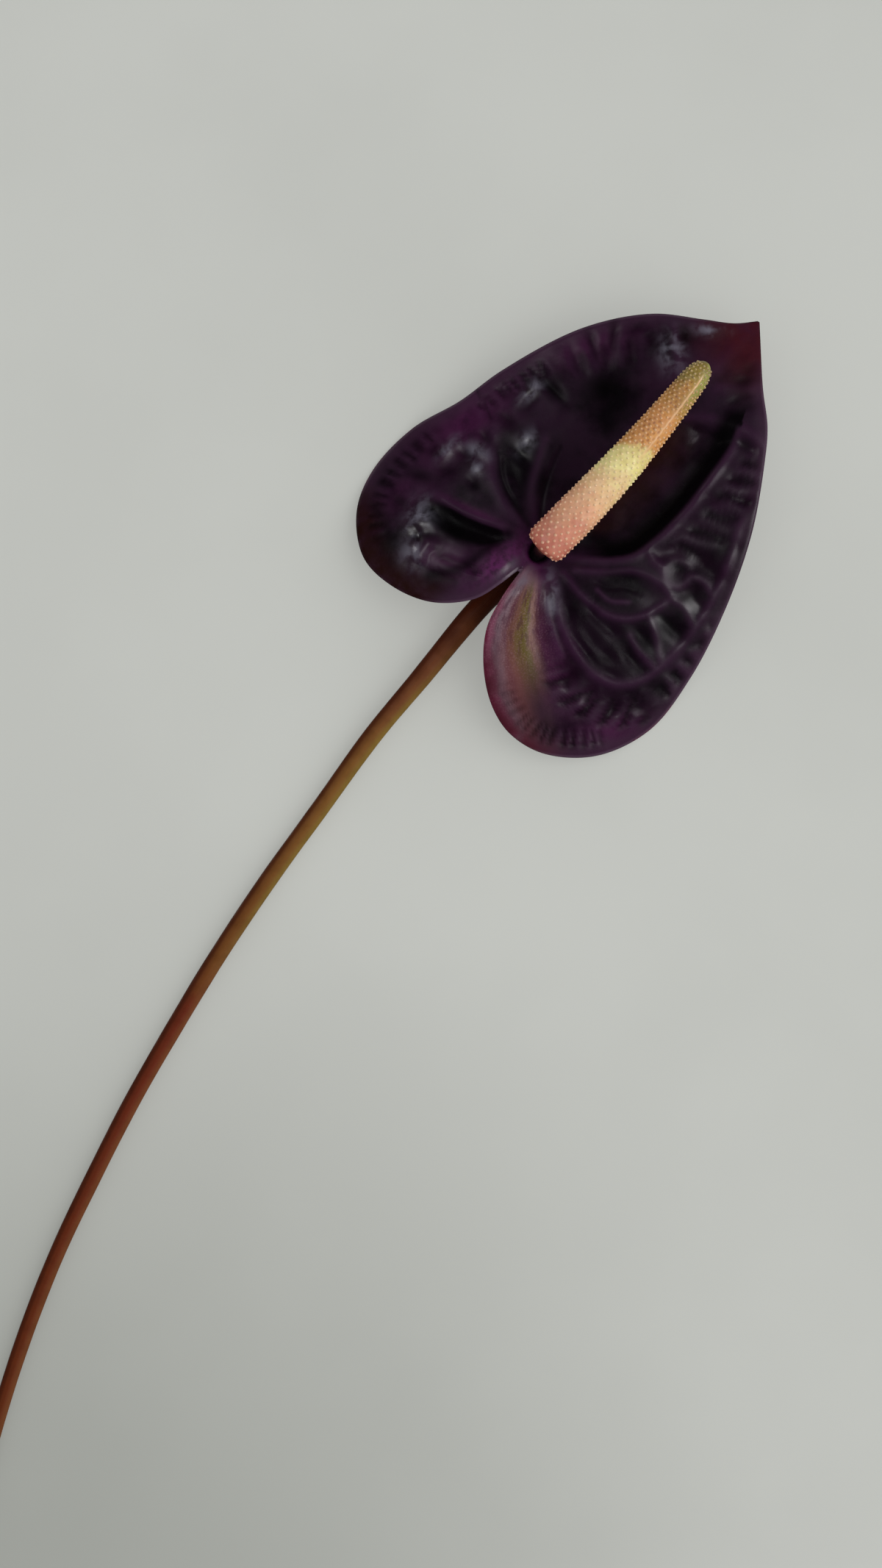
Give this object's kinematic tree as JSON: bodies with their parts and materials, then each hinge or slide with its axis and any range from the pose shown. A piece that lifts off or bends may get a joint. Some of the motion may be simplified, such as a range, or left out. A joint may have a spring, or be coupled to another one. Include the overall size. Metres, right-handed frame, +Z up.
{
  "type": "cut anthurium flower",
  "caption": "Cut anthurium flower lying face up: dark glossy heart-shaped spathe, tapering spadix on a short stipe, and a long slender stem.",
  "frame": {"origin": "on the surface the flower lies on, under the middle of its box", "axes": "+Z up, away from the surface and out of the flower's face; +Y along the longer side, from the stem's cut end towards the tip of the spathe; +X towards the spathe's right half, seen from above"},
  "size_m": [0.2024, 0.3192, 0.0345],
  "materials": {
    "spathe": "gloss",
    "spadix": "satin",
    "stipe": "satin",
    "stem": "satin"
  },
  "bodies": {
    "root": {"spathe": "spathe", "spadix": "spadix", "stipe": "stipe", "stem": "stem"}
  },
  "joints": []
}
